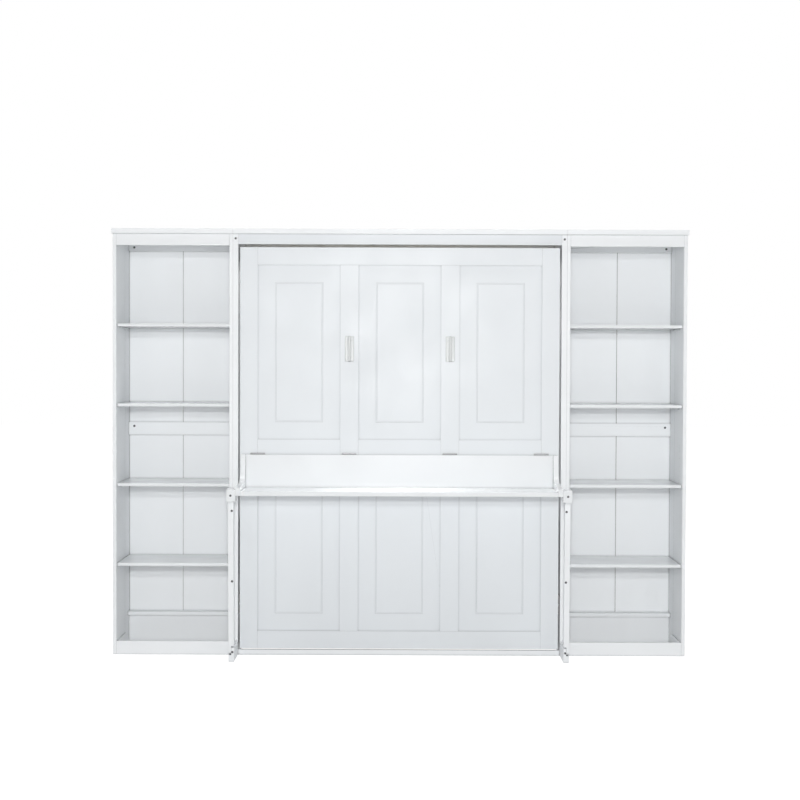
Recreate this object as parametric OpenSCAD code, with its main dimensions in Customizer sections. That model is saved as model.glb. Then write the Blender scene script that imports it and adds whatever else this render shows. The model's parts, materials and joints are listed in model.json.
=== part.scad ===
// Wall bed with a fold down desk, between two open bookcases.
// Millimetres, +Z up, fronts face -Y, origin on the floor at the centre of the whole unit.
// The bed stands closed. Opened, it turns about its lower pivots, and the desk stays level
// on a parallelogram made by the bed, the two front legs and the two feet.

/* [Mattress] */
// Width of the mattress that the bed frame takes
mattress_w = 1524; // [1370:1:1540]
// Length of the mattress that the bed frame takes
mattress_l = 2032; // [1900:1:2040]
// Space between the mattress and each side rail
mattress_clear = 3; // [1:0.5:10]

/* [Cabinet] */
// Depth of the cabinet and bookcase sides
case_d = 400; // [385:1:480]
// Thickness of the cabinet sides and of the legs
side_t = 28; // [24:1:36]
// Thickness of the top boards
top_t = 26; // [18:1:40]
// How far the top boards stand out past the front edges
top_front_over = 12; // [2:1:30]
// How far the outer ends of the top boards stand out past the bookcases
top_end_over = 6; // [1:1:20]
// Thickness of the front and back rails
rail_t = 18; // [15:1:25]
// Height of the header rail over the bed face
header_h = 54; // [40:1:90]
// Height of the plinth rail under the bed face
plinth_h = 28; // [15:1:30]
// Height of the upper wall rail of the cabinet
wall_rail_h = 120; // [90:1:200]
// Height of the lower wall rail of the cabinet
low_rail_h = 90; // [60:1:150]

/* [Bookcases] */
// Width of one bookcase over its sides
bookcase_w = 623; // [450:1:800]
// Thickness of the bookcase sides
board_t = 18; // [16:1:25]
// Depth of the front board of each bookcase side
front_board_d = 260; // [200:1:275]
// Height of the bookcase header rail
book_header_h = 61; // [40:1:90]
// Height of the kick rail and of the bottom cleats
kick_h = 70; // [40:1:110]
// Thickness of the bottom side cleats
cleat_t = 8; // [5:1:15]
// Thickness of the two back panels
back_t = 6; // [4:1:10]
// Height of the back rail under the top board
back_rail_h = 65; // [50:1:100]
// Height of the middle back rail
mid_rail_h = 68; // [50:1:90]
// Underside of the middle back rail
mid_rail_z = 1129; // [1050:1:1200]
// Height of the lower back board
low_board_h = 150; // [100:1:200]
// Thickness of the batten on the lower back board
batten_t = 20; // [15:1:30]
// Depth of that batten, measured from the back
batten_d = 56; // [40:1:80]
// Top of the lowest shelf
first_shelf_z = 475; // [400:1:520]
// Distance from one shelf to the next
shelf_pitch = 416; // [380:1:440]
// Thickness of a shelf
shelf_t = 15; // [12:1:22]
// How far the shelves are set back from the front edges
shelf_setback = 20; // [5:1:60]
// Distance of the front row of shelf pins from the front edges
pin_row_front = 108; // [60:1:140]
// Distance of the back row of shelf pins from the front edges
pin_row_back = 285; // [282:1:320]
// Height of the spare pin holes
spare_hole_z = 1100; // [1060:1:1120]
// Distance of the wall screws from the bookcase sides
wall_hole_in = 31; // [20:1:60]

/* [Bed] */
// Gap round the bed face, at the sides
face_gap = 10; // [5:0.5:14]
// Gap between the bed face and the plinth
face_gap_low = 7; // [7:0.5:14]
// Gap between the bed face and the header
face_gap_top = 15; // [12:0.5:22]
// Thickness of the boards behind the face strips
face_sheet_t = 9; // [6:1:15]
// Thickness of the strips on the face, and depth of its recesses
face_strip_t = 9; // [6:1:15]
// Width of the stiles and of the top and bottom rails of the face
stile_w = 91; // [70:1:110]
// Width of the two mullions of the face
mullion_w = 94; // [70:1:110]
// Height of the middle rail of the face
mid_face_h = 91; // [80:1:110]
// Underside of the middle rail of the face
mid_face_z = 1032; // [1020:1:1036]
// Distance of the routed line from the edge of its recess
line_inset = 90; // [60:1:110]
// Width of the routed line
line_w = 8; // [4:0.5:14]
// Depth of the routed line
line_depth = 3; // [1:0.5:4]
// Thickness of the bed's side and end rails
bed_rail_t = 25; // [20:1:30]
// Depth of the bed's side and end rails
bed_rail_d = 130; // [125:1:160]
// Space between the side rails and the cabinet sides, for the gas struts
strut_gap = 48; // [44:1:60]
// Thickness of a slat
slat_t = 18; // [14:1:24]
// Width of a slat
slat_w = 70; // [50:1:90]
// Number of slats
slat_count = 14; // [10:1:18]
// Distance of the end slats from the ends of the frame
slat_end = 8; // [2:1:20]
// Width of the ledgers that carry the slats
ledger_w = 24; // [18:1:30]
// Depth of the ledgers that carry the slats
ledger_d = 22; // [18:1:30]

/* [Bed pivots and struts] */
// Distance of the bed pivot from the cabinet's front edges
pivot_y = 28; // [28:0.5:36]
// Height of the bed pivot
pivot_z = 264; // [264:0.5:290]
// Radius of the bed pivot pin
pivot_r = 7; // [6:0.25:8]
// Thickness of the steel pivot plates
plate_t = 4; // [3:0.5:6]
// Height of a pivot plate
pivot_plate_h = 100; // [80:1:120]
// Depth of a pivot plate
pivot_plate_d = 82; // [60:1:88]
// Distance of the pivot plates on the cabinet from its front edges
plate_setback = 6; // [3:1:12]
// Height of the plate of a strut stud
stud_plate_h = 54; // [40:1:60]
// Depth of the plate of a strut stud
stud_plate_d = 42; // [30:1:50]
// Gas strut stud on the bed, behind the pivot
bed_stud_back = 90; // [80:1:95]
// Gas strut stud on the bed, below the pivot
bed_stud_down = 150; // [135:1:160]
// Length of the gas strut between its studs, bed closed
strut_l = 580; // [560:1:620]
// Length of the gas strut's cylinder
cylinder_l = 280; // [270:1:285]
// Radius of the gas strut's cylinder
cylinder_r = 11; // [9:0.5:13]
// Radius of the gas strut's rod
rod_r = 5; // [4:0.5:6]

/* [Desk] */
// Thickness of the desk top
desk_t = 22; // [18:1:28]
// Depth of the desk, from the back of its back panel to its front edge
desk_d = 296; // [270:1:340]
// Height of the upper face of the desk top
desk_z = 876; // [860:1:885]
// Thickness of the desk's back panel
desk_back_t = 18; // [15:1:22]
// Thickness of the desk's end gussets
gusset_t = 25; // [18:1:30]
// Distance of the gussets' outer faces from the edges of the bed face
gusset_in = 6; // [2:1:20]
// Depth of a gusset at its top
gusset_top_d = 26; // [22:1:35]
// Height of a gusset over the desk at its front end
gusset_front_h = 16; // [6:1:24]
// Height of a gusset over the desk where its sweep ends
gusset_low_h = 30; // [24:1:50]
// Radius of the sweep of a gusset
gusset_r = 88; // [60:1:100]
// How much deeper a gusset is where its sweep begins
gusset_taper = 6; // [0:1:14]

/* [Desk hinges] */
// Height of the desk hinge line
hinge_z = 1050; // [1040:1:1055]
// Length of one hinge
hinge_l = 76; // [60:1:90]
// Radius of a hinge knuckle
knuckle_r = 4; // [3:0.25:5]
// Radius of a hinge pin
hinge_pin_r = 1.6; // [1.2:0.1:2]
// Thickness of a hinge leaf
leaf_t = 1.5; // [1:0.25:2]
// Height of a hinge leaf
leaf_h = 30; // [20:1:40]
// Distance of the outer hinges from the edges of the bed face
outer_hinge_in = 92; // [60:1:110]

/* [Legs and feet] */
// Depth of a leg, front to back
leg_d = 44; // [40:1:46]
// Distance of the lower leg pivot from the cabinet's front edges
leg_pivot_y = 179; // [150:1:200]
// Height of the lower leg pivot
leg_pivot_z = 60; // [59:0.5:70]
// Height of the foot over the lower leg pivot
foot_over = 12; // [9:0.5:13]
// Radius of the leg pivot pins
leg_pin_r = 5; // [4:0.25:6]
// Height of the leg heads at the ends of the desk
head_h = 62; // [58:1:64]
// Top of the leg heads over the desk
head_over = 10; // [6:1:14]

/* [Handles] */
// Height of the middle of the handles
handle_z = 1595; // [1400:1:1700]
// Height of a handle's plate
handle_h = 131; // [110:1:160]
// Width of a handle's plate
handle_w = 47; // [40:1:60]
// Thickness of a handle's plate
handle_t = 3; // [2:0.5:5]
// Width of a handle's bar
bar_w = 17; // [16:1:26]
// Thickness of a handle's bar
bar_t = 8; // [5:1:12]
// Distance between a handle's two posts
post_pitch = 86; // [70:1:96]
// Space for the fingers behind the bar
finger_gap = 22; // [18:1:32]
// Radius of a handle's posts
post_r = 6; // [4:0.5:9]
// Radius of the corners of a handle's plate
plate_corner_r = 5; // [2:1:12]
// Radius of the corners of a handle's bar
bar_corner_r = 7; // [3:1:7]

/* [Front bolts] */
// Radius of a bolt head
bolt_head_r = 5; // [4:0.25:5.5]
// Height of a bolt head
bolt_head_h = 5; // [4:0.5:6]
// Radius of a bolt shank
bolt_r = 3; // [2:0.25:3.5]
// Height of the bolts in the cabinet sides, under the top board
top_bolt_down = 24; // [14:1:40]
// Height of the upper leg bolt over the lower leg pivot
leg_bolt_high = 714; // [650:1:735]
// Height of the lower leg bolt over the lower leg pivot
leg_bolt_low = 354; // [200:1:500]
// Height of the bolts in the feet
foot_bolt_z = 50; // [40:1:52]

/* [Hidden] */
$fn = 48;

left = -1;
right = 1;
board_white = "#F2F2F0";
face_white = "#F4F4F2";
steel = "#B9BBBD";
nickel = "#D8D4CC";
dark_steel = "#6E7072";

// Clearances
run_fit = 0.08;
open_fit = 0.3;
bolt_fit = 0.05;
seat = 0.2;
gap = 0.4;
over = 1;
end_slack = 1.5;
shelf_slack = 1;

// Bed frame, from the mattress outwards
rail_in = mattress_w / 2 + mattress_clear;
rail_out = rail_in + bed_rail_t;
case_in = rail_out + strut_gap;
case_half = case_in + side_t;
face_half = case_in - face_gap;
face_t = face_strip_t + face_sheet_t;
face_h = mattress_l + 2 * bed_rail_t + 2 * end_slack;
face_low = plinth_h + face_gap_low;
face_high = face_low + face_h;
bed_low = face_low + end_slack;
bed_high = face_high - end_slack;
rail_y = [face_t, face_t + bed_rail_d];

// Carcass heights
top_z = face_high + face_gap_top + header_h;
unit_h = top_z + top_t;

// Face layout: three recesses of one width between the stiles
recess_w = (2 * (face_half - stile_w) - 2 * mullion_w) / 3;
mullion_x = (recess_w + mullion_w) / 2;
recess_x = [-(recess_w + mullion_w), 0, recess_w + mullion_w];
low_recess = [face_low + stile_w, mid_face_z];
high_recess = [mid_face_z + mid_face_h, face_high - stile_w];

// Desk hinge line, and the desk behind and below it
leaf_gap = 0.5;
hinge_y = -(knuckle_r + gap);
desk_back_y = -(2 * leaf_t + leaf_gap);
desk_front_y = desk_back_y - desk_d;
desk_back_z = hinge_z - knuckle_r - gap;
gusset_out = face_half - gusset_in;
gusset_x = gusset_out - gusset_t;
hinge_xs = [-(face_half - outer_hinge_in), -mullion_x, mullion_x, face_half - outer_hinge_in];
knuckles = 5;
knuckle_l = hinge_l / knuckles;

// Parallelogram: the leg is parallel and equal to the line from bed pivot to desk hinge
lean = pivot_y - hinge_y;
rise = hinge_z - pivot_z;
leg_l = sqrt(lean * lean + rise * rise);
lean_angle = atan(lean / rise);
foot_pivot = [-leg_pivot_y, leg_pivot_z];
head_pivot = foot_pivot + [-lean, rise];
leg_half = leg_d / 2;
lap_x = (case_in + case_half) / 2;
foot_top = leg_pivot_z + foot_over;
foot_lip = 2;
foot_front = -leg_pivot_y - leg_half + foot_lip;
shoulder_over = 9;
shoulder_r = leg_half + shoulder_over;
cheek_over = 4;
head_cheek_r = leg_half + cheek_over;
socket_clear = 1;
socket_r = leg_half + socket_clear;
swing_clear = 2.5;
pin_end = 1;
head_low = desk_z + head_over - head_h;
head_high = desk_z + head_over;
head_back_y = head_pivot[0] + head_cheek_r;
spacer_clear = 1.5;
spacer_step = 2;
spacer_back_y = head_pivot[0] - leg_half - spacer_clear;
bolt_in = 8;
bolt_x = case_in + bolt_in;

// Gas struts, upright behind the face when the bed is closed
strut_x = (rail_out + case_in) / 2;
strut_y = pivot_y + bed_stud_back;
low_stud_z = pivot_z - bed_stud_down;
high_stud_z = low_stud_z + strut_l;
eye_r = 10;
eye_half = 6;
eye_x = [strut_x - eye_half, strut_x + eye_half];
eye_drop = 7;
cylinder_top = high_stud_z - eye_drop;
cylinder_low = cylinder_top - cylinder_l;
stud_r = 5;
bore_top = cylinder_top - eye_r;
// Length of the strut between its studs when the bed is open, which the rod just clears
strut_open_l = norm([bed_stud_down - bed_stud_back, strut_l - bed_stud_down - bed_stud_back]);
rod_end_clear = 2.5;
rod_top = low_stud_z + strut_open_l - (high_stud_z - bore_top) - rod_end_clear;

// Steel fittings of the bed pivots
pin_in_rail = 18;
pin_bore_l = 20;
bush_clear = 0.5;
bush_end = 1;
bush_r = pivot_y - face_t - bush_clear;

// Bookcase, right-hand one
book_in = [case_half + board_t, case_half + bookcase_w - board_t];
book_outer = case_half + bookcase_w;
back_y = case_d - back_t;
pin_rows = [pin_row_front, pin_row_back];
peg_r = 2.5;
peg_l = 10;
tab_t = 2;
tab_l = 10;
tab_w = 9;
peg_drop = 1;
seam_v = 1;
wall_hole_r = 4;
book_holes = [book_in[0] + wall_hole_in, book_in[1] - wall_hole_in];
mid_hole_down = 21;
top_hole_up = 19;
book_hole_zs = [mid_rail_z + mid_rail_h - mid_hole_down, top_z - back_rail_h + top_hole_up];
wall_pitch = 500;
wall_rail_xs = [for (i = [-1.5:1:1.5]) i * wall_pitch];
low_hole_x = 700;

// The whole unit is centred front to back on the origin
centre_y = -(desk_front_y + case_d) / 2;

module placed(side = right) {
    translate([0, centre_y, 0])
        if (side == left) mirror([1, 0, 0]) children();
        else children();
}

module block(x, y, z) {
    translate([x[0], y[0], z[0]])
        cube([x[1] - x[0], y[1] - y[0], z[1] - z[0]]);
}

// A range of width w about a middle
function around(middle, w) = [middle - w / 2, middle + w / 2];

module rod_x(x, y, z, r) {
    translate([x[0], y, z]) rotate([0, 90, 0]) cylinder(h = x[1] - x[0], r = r);
}

module rod_y(x, y, z, r) {
    translate([x, y[0], z]) rotate([-90, 0, 0]) cylinder(h = y[1] - y[0], r = r);
}

module rod_z(x, y, z, r) {
    translate([x, y, z[0]]) cylinder(h = z[1] - z[0], r = r);
}

// A socket head bolt with its head flush with a front at height z
module bolt(x, y, z, shank) {
    difference() {
        union() {
            rod_y(x, [y, y + bolt_head_h], z, bolt_head_r);
            rod_y(x, [y + bolt_head_h, y + bolt_head_h + shank], z, bolt_r);
        }
        translate([x, y - over, z]) rotate([-90, 30, 0])
            cylinder(h = bolt_head_h / 2 + over, r = bolt_socket_r, $fn = 6);
    }
}

// The hole that the bolt sits in
module bolt_hole(x, y, z, shank) {
    rod_y(x, [y - over, y + bolt_head_h + bolt_fit], z, bolt_head_r + bolt_fit);
    rod_y(x, [y - over, y + bolt_head_h + shank + bolt_fit], z, bolt_r + bolt_fit);
}

bolt_socket_r = 0.55 * bolt_head_r;
top_shank = 45;
leg_shank = 26;
foot_shank = 8;
head_shank = 40;

// ---------------------------------------------------------------- bookcases

// One board of a side, with the pin holes of its row and a small V along the seam
// x is its thickness, y its depth, face its inner face, and toward points into the bookcase
module side_board(x, y, face, toward, row) {
    difference() {
        block(x, y, [0, top_z]);
        translate([face, front_board_d, top_z / 2]) rotate([0, 0, 45])
            cube([seam_v * 2, seam_v * 2, top_z + 2 * over], center = true);
        for (i = [0:3]) peg_hole(face, toward, row, first_shelf_z + i * shelf_pitch - shelf_t);
        peg_hole(face, toward, row, spare_hole_z + peg_r + peg_drop);
    }
}

// Blind hole for the peg of a shelf pin whose tab has its top at height z
module peg_hole(face, toward, y, z) {
    x = toward > 0 ? [face - peg_l, face + over] : [face - over, face + peg_l];
    rod_x(x, y, z - peg_r - peg_drop, peg_r);
}

// A bookcase side is two boards edge to edge, with a hairline joint
module book_side(x, face, toward) {
    side_board(x, [0, front_board_d - gap / 2], face, toward, pin_row_front);
    side_board(x, [front_board_d + gap / 2, case_d], face, toward, pin_row_back);
}

module outer_side(side) {
    color(board_white) placed(side) book_side([book_in[1], book_outer], book_in[1], -1);
}

module inner_side(side) {
    color(board_white) placed(side) book_side([case_half, book_in[0]], book_in[0], 1);
}

module book_top(side) {
    color(board_white) placed(side)
        block([case_half, book_outer + top_end_over], [-top_front_over, case_d], [top_z, unit_h]);
}

module front_rails(side) {
    color(board_white) placed(side) {
        block(book_in, [0, rail_t], [top_z - book_header_h, top_z]);
        block(book_in, [0, rail_t], [0, kick_h]);
    }
}

module book_wall_holes() {
    for (x = book_holes, z = book_hole_zs) rod_y(x, [back_y - rail_t - over, case_d + over], z, wall_hole_r);
}

module back_rails(side) {
    color(board_white) placed(side) {
        difference() {
            union() {
                block(book_in, [back_y - rail_t, back_y], [top_z - back_rail_h, top_z]);
                block(book_in, [back_y - rail_t, back_y], [mid_rail_z, mid_rail_z + mid_rail_h]);
            }
            book_wall_holes();
        }
        block(book_in, [case_d - rail_t, case_d], [0, low_board_h]);
        block(book_in, [case_d - batten_d, back_y], [low_board_h + seat, low_board_h + batten_t]);
    }
}

module back_panels(side) {
    middle = (book_in[0] + book_in[1]) / 2;
    color(board_white) placed(side)
        difference() {
            union() {
                block([book_in[0], middle - gap / 2], [back_y, case_d], [low_board_h, top_z]);
                block([middle + gap / 2, book_in[1]], [back_y, case_d], [low_board_h, top_z]);
            }
            book_wall_holes();
        }
}

module bottom_cleats(side) {
    color(board_white) placed(side) {
        block([book_in[0], book_in[0] + cleat_t], [rail_t, front_board_d], [0, kick_h]);
        block([book_in[1] - cleat_t, book_in[1]], [rail_t, front_board_d], [0, kick_h]);
    }
}

module shelf(side, number) {
    z = first_shelf_z + (number - 1) * shelf_pitch;
    color(board_white) placed(side)
        block([book_in[0] + shelf_slack, book_in[1] - shelf_slack], [shelf_setback, back_y - shelf_slack],
              [z - shelf_t, z]);
}

// A shelf pin: peg, flange and tab. toward points into the bookcase
module shelf_pin(face, toward, y, z) {
    inside = toward > 0 ? [face, face + tab_l] : [face - tab_l, face];
    flange = toward > 0 ? [face, face + tab_t] : [face - tab_t, face];
    peg = toward > 0 ? [face - peg_l, face + tab_t] : [face - tab_t, face + peg_l];
    rod_x(peg, y, z - peg_r - peg_drop, peg_r);
    block(flange, [y - tab_w / 2, y + tab_w / 2], [z - tab_w, z]);
    block(inside, [y - tab_w / 2, y + tab_w / 2], [z - tab_t, z]);
}

module shelf_pins(side) {
    color(steel) placed(side)
        for (i = [0:3], y = pin_rows) {
            z = first_shelf_z + i * shelf_pitch - shelf_t;
            shelf_pin(book_in[0], 1, y, z);
            shelf_pin(book_in[1], -1, y, z);
        }
}

// ---------------------------------------------------------------- bed cabinet

module case_side(side) {
    color(board_white) placed(side)
        difference() {
            block([case_in, case_half], [0, case_d], [0, top_z]);
            bolt_hole(lap_x, 0, top_z - top_bolt_down, top_shank);
        }
}

module case_top_board() {
    color(board_white) placed()
        block([-case_half, case_half], [-top_front_over, case_d], [top_z, unit_h]);
}

module case_header() {
    color(board_white) placed() block([-case_in, case_in], [0, rail_t], [top_z - header_h, top_z]);
}

module case_plinth() {
    color(board_white) placed() block([-case_in, case_in], [0, rail_t], [0, plinth_h]);
}

module case_wall_rails() {
    y = [case_d - rail_t, case_d];
    color(board_white) placed()
        difference() {
            union() {
                block([-case_in, case_in], y, [top_z - wall_rail_h, top_z]);
                block([-case_in, case_in], y, [0, low_rail_h]);
            }
            for (x = wall_rail_xs)
                rod_y(x, [y[0] - over, y[1] + over], top_z - wall_rail_h / 2, wall_hole_r);
            for (x = [-low_hole_x, low_hole_x])
                rod_y(x, [y[0] - over, y[1] + over], low_rail_h / 2, wall_hole_r);
        }
}

// Steel plates on the cabinet sides with the bed's pivot pins, and the upper strut studs
module case_pivots() {
    plate_x = [case_in - plate_t, case_in];
    color(steel)
        for (side = [left, right]) placed(side) {
            block(plate_x, [plate_setback, plate_setback + pivot_plate_d], around(pivot_z, pivot_plate_h));
            rod_x([rail_out - pin_in_rail, plate_x[0]], pivot_y, pivot_z, pivot_r);
            block(plate_x, around(strut_y, stud_plate_d), around(high_stud_z, stud_plate_h));
            rod_x([eye_x[0], plate_x[0]], strut_y, high_stud_z, stud_r);
        }
}

// Front bolts of the cabinet sides and feet, and the lower leg pins
module case_fasteners() {
    color(dark_steel)
        for (side = [left, right]) placed(side) {
            bolt(lap_x, 0, top_z - top_bolt_down, top_shank);
            bolt(bolt_x, foot_front, foot_bolt_z, foot_shank);
            rod_x([case_in + pin_end, case_half - pin_end], foot_pivot[0], foot_pivot[1], leg_pin_r);
        }
}

// A foot: a board on the floor whose inner half carries the lower leg pin
module foot(side) {
    py = foot_pivot[0];
    pz = foot_pivot[1];
    outer = [lap_x - gap / 2, case_half + over];
    color(board_white) placed(side)
        difference() {
            block([case_in, case_half], [foot_front, 0], [0, foot_top]);
            rod_x(outer, py, pz, socket_r);
            block(outer, [foot_front - over, py], [pz - leg_half - swing_clear, foot_top + over]);
            block(outer, [py - over, py + socket_r], [pz, foot_top + over]);
            rod_x([case_in - over, case_half + over], py, pz, leg_pin_r);
            bolt_hole(bolt_x, foot_front, foot_bolt_z, foot_shank);
        }
}

// ---------------------------------------------------------------- bed

// A routed rectangle in the front of the sheets, set in from the edges of a recess
module routed_line(x, z) {
    deep = [face_strip_t - over, face_strip_t + line_depth];
    outer_x = [x - recess_w / 2 + line_inset, x + recess_w / 2 - line_inset];
    outer_z = [z[0] + line_inset, z[1] - line_inset];
    difference() {
        block(outer_x, deep, outer_z);
        block(outer_x + [line_w, -line_w], deep + [-over, over], outer_z + [line_w, -line_w]);
    }
}

module face_sheets() {
    y = [face_strip_t, face_t];
    z = [face_low, face_high];
    color(face_white) placed()
        difference() {
            union() {
                block([-face_half, -mullion_x - gap / 2], y, z);
                block([-mullion_x + gap / 2, mullion_x - gap / 2], y, z);
                block([mullion_x + gap / 2, face_half], y, z);
            }
            for (x = recess_x, recess = [low_recess, high_recess]) routed_line(x, recess);
        }
}

module face_stiles() {
    color(face_white)
        for (side = [left, right]) placed(side)
            block([face_half - stile_w, face_half], [0, face_strip_t], [face_low, face_high]);
}

module face_rails() {
    inner = face_half - stile_w;
    y = [0, face_strip_t];
    color(face_white) placed() {
        block([-inner, inner], y, [face_low, face_low + stile_w]);
        block([-inner, inner], y, [face_high - stile_w, face_high]);
        for (x = recess_x)
            block(around(x, recess_w), y, [mid_face_z, mid_face_z + mid_face_h]);
    }
}

module face_mullions() {
    color(face_white)
        for (side = [left, right]) placed(side)
            block(around(mullion_x, mullion_w), [0, face_strip_t],
                  [face_low + stile_w, face_high - stile_w]);
}

module bed_rail(side) {
    color(board_white) placed(side)
        difference() {
            block([rail_in, rail_out], rail_y, [bed_low, bed_high]);
            rod_x([rail_out - pin_bore_l, rail_out + over], pivot_y, pivot_z, pivot_r + run_fit);
        }
}

module bed_end_rails() {
    color(board_white) placed() {
        block([-rail_in, rail_in], rail_y, [bed_low, bed_low + bed_rail_t]);
        block([-rail_in, rail_in], rail_y, [bed_high - bed_rail_t, bed_high]);
    }
}

module bed_ledgers() {
    y = [face_t, face_t + ledger_d];
    z = [bed_low + bed_rail_t, bed_high - bed_rail_t];
    color(board_white) placed() {
        for (x = [[-rail_in, -rail_in + ledger_w], [-ledger_w, ledger_w], [rail_in - ledger_w, rail_in]])
            block(x, y, z);
    }
}

module bed_slats() {
    y = face_t + ledger_d;
    z0 = bed_low + bed_rail_t + slat_w / 2 + slat_end;
    step = (mattress_l - slat_w - 2 * slat_end) / (slat_count - 1);
    color("#E3CFA8") placed()
        for (i = [0:slat_count - 1])
            block([-rail_in + shelf_slack, rail_in - shelf_slack], [y, y + slat_t],
                  around(z0 + i * step, slat_w));
}

// Steel plates with bushes on the bed's side rails, and the lower strut studs
module bed_pivots() {
    plate_x = [rail_out, rail_out + plate_t];
    color(steel)
        for (side = [left, right]) placed(side) {
            difference() {
                union() {
                    block(plate_x, [face_t, face_t + pivot_plate_d], around(pivot_z, pivot_plate_h));
                    rod_x([rail_out, case_in - plate_t - bush_end], pivot_y, pivot_z, bush_r);
                }
                rod_x([rail_out - over, case_in], pivot_y, pivot_z, pivot_r + run_fit);
            }
            block(plate_x, around(strut_y, stud_plate_d), around(low_stud_z, stud_plate_h));
            rod_x([plate_x[1], eye_x[0] - gap], strut_y, low_stud_z, stud_r);
        }
}

// A plate with rounded corners, standing in the X-Z plane
module rounded_plate(w, h, r, y) {
    block([-w / 2 + r, w / 2 - r], y, [-h / 2, h / 2]);
    block([-w / 2, w / 2], y, [-h / 2 + r, h / 2 - r]);
    for (x = [-w / 2 + r, w / 2 - r], z = [-h / 2 + r, h / 2 - r]) rod_y(x, y, z, r);
}

module handle(side) {
    bar_y = [-handle_t - finger_gap - bar_t, -handle_t - finger_gap];
    color(nickel) placed(side) translate([mullion_x, 0, handle_z]) {
        rounded_plate(handle_w, handle_h, plate_corner_r, [-handle_t, 0]);
        rounded_plate(bar_w, handle_h, bar_corner_r, bar_y);
        for (z = around(0, post_pitch)) rod_y(0, [bar_y[1], -handle_t], z, post_r);
    }
}

// Knuckles of one leaf: own holds the numbers of its own knuckles, bore is their bore
module knuckle_row(own, y, bore) {
    for (i = own) {
        x0 = -hinge_l / 2 + i * knuckle_l + gap / 2;
        x = [x0, x0 + knuckle_l - gap];
        difference() {
            union() {
                rod_x(x, hinge_y, hinge_z, knuckle_r);
                block(x, y, [hinge_z - knuckle_r - gap, hinge_z]);
            }
            rod_x([x[0] - over, x[1] + over], hinge_y, hinge_z, bore);
        }
    }
}

module hinge_leaf(own, y, bore) {
    block([-hinge_l / 2, hinge_l / 2], y, [hinge_z - knuckle_r - gap - leaf_h, hinge_z - knuckle_r - gap]);
    knuckle_row(own, y, bore);
}

// Leaves on the bed face, with the pins
module bed_hinge_leaves() {
    color(dark_steel) placed()
        for (x = hinge_xs) translate([x, 0, 0]) {
            hinge_leaf([0, 2, 4], [-leaf_t, 0], hinge_pin_r);
            rod_x([-hinge_l / 2, hinge_l / 2], hinge_y, hinge_z, hinge_pin_r);
        }
}

// ---------------------------------------------------------------- desk

module desk_hinge_leaves() {
    color(dark_steel) placed()
        for (x = hinge_xs) translate([x, 0, 0])
            hinge_leaf([1, 3], [desk_back_y, desk_back_y + leaf_t], hinge_pin_r + run_fit);
}

module desk_top() {
    color(board_white) placed()
        block([-gusset_x, gusset_x], [desk_front_y, desk_back_y - desk_back_t], [desk_z - desk_t, desk_z]);
}

module desk_back() {
    color(board_white) placed()
        block([-gusset_x, gusset_x], [desk_back_y - desk_back_t, desk_back_y], [desk_z - desk_t, desk_back_z]);
}

// Outline of a gusset, as Y from the back plane against height
function sweep(n = 16) = [
    for (i = [0:n])
        let (a = 180 + 90 * i / n)
        [-(gusset_top_d + gusset_taper + gusset_r * (1 + cos(a))),
         desk_z + gusset_low_h + gusset_r * (1 + sin(a))]
];

gusset_outline = concat(
    [[0, desk_z - desk_t], [0, desk_back_z], [-gusset_top_d, desk_back_z]],
    sweep(),
    [[-desk_d, desk_z + gusset_front_h], [-desk_d, desk_z - desk_t]]
);

module gusset(side) {
    color(board_white) placed(side)
        translate([gusset_x, desk_back_y, 0]) rotate([90, 0, 90])
            linear_extrude(gusset_t) polygon(gusset_outline);
}

// A leg head and its spacer at each end of the desk. The head's inner half carries the upper leg pin
module leg_heads() {
    py = head_pivot[0];
    pz = head_pivot[1];
    inner = [case_in - over, lap_x - gap / 2];
    outer = [lap_x - gap / 2, case_half + over];
    behind = [py, head_back_y + over];
    under = [head_low - over, pz + socket_r + swing_clear];
    color(board_white)
        for (side = [left, right]) placed(side) {
            difference() {
                block([case_in, case_half], [desk_front_y, head_back_y], [head_low, head_high]);
                rod_x(outer, py, pz, socket_r);
                block(outer, [py - socket_r, py + over], [head_low - over, pz]);
                block(outer, behind, under);
                difference() {
                    block(inner, behind, under);
                    rod_x(inner, py, pz, head_cheek_r);
                }
                rod_x([case_in - over, case_half + over], py, pz, leg_pin_r);
                bolt_hole(bolt_x, desk_front_y, (head_low + head_high) / 2, head_shank);
            }
            block([gusset_out, case_in], [desk_front_y, spacer_back_y], [head_low + spacer_step, head_high - spacer_step]);
        }
}

// Front bolts of the leg heads, and the upper leg pins
module desk_fasteners() {
    color(dark_steel)
        for (side = [left, right]) placed(side) {
            bolt(bolt_x, desk_front_y, (head_low + head_high) / 2, head_shank);
            rod_x([case_in + pin_end, case_half - pin_end], head_pivot[0], head_pivot[1], leg_pin_r);
        }
}

// ---------------------------------------------------------------- legs

// A leg in its own frame: Z runs from the lower pin to the upper pin
module leg(side) {
    inner = [case_in - over, lap_x + gap / 2];
    bolts = [leg_bolt_low, leg_bolt_high];
    color(board_white) placed(side)
        translate([0, foot_pivot[0], foot_pivot[1]]) rotate([lean_angle, 0, 0]) {
            difference() {
                union() {
                    block([case_in, case_half], [-leg_half, leg_half], [0, leg_l]);
                    for (z = [0, leg_l]) rod_x([case_in, case_half], 0, z, leg_half);
                }
                for (z = [0, leg_l]) rod_x(inner, 0, z, shoulder_r);
                rod_x([case_in, case_half + over], 0, 0, leg_pin_r + run_fit);
                rod_x([case_in, case_half + over], 0, leg_l, leg_pin_r + open_fit);
                for (z = bolts) bolt_hole(bolt_x, -leg_half, z, leg_shank);
            }
            for (z = bolts) bolt(bolt_x, -leg_half, z, leg_shank);
        }
}

// ---------------------------------------------------------------- gas struts

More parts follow.
